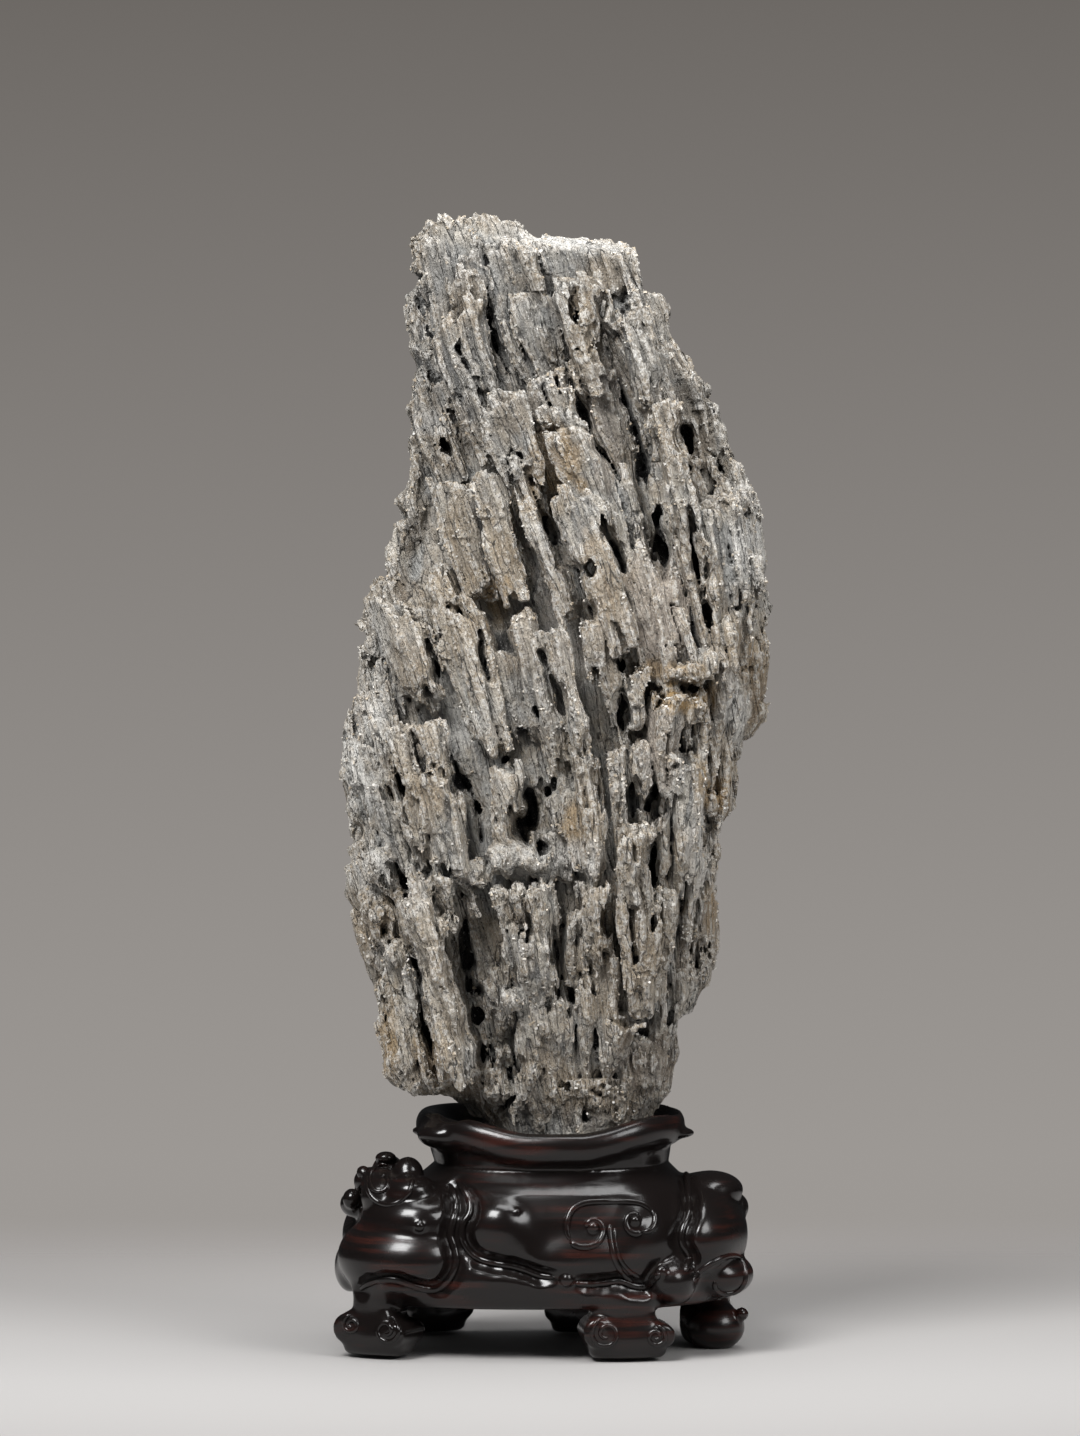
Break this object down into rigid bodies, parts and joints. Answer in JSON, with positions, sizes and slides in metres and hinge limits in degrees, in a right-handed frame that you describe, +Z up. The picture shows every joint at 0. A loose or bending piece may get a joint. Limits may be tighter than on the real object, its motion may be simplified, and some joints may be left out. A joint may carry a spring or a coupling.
{
  "type": "scholar stone",
  "caption": "Upright splintered viewing stone with ledges, fissures and hollows, its foot set in a carved hardwood stand with a rolled rim and scroll feet.",
  "frame": {"origin": "under the middle of the whole object, at the level of the feet's soles", "axes": "+Z up along the stone; -Y towards the viewer of the stone's front; +X to that viewer's right"},
  "size_m": [0.1958, 0.1298, 0.4928],
  "materials": {
    "stone": "matt, with sugary quartz grains",
    "hardwood": "near-black, waxed and polished"
  },
  "bodies": {
    "root": {"stone": "stone", "stand": "hardwood"}
  },
  "joints": []
}
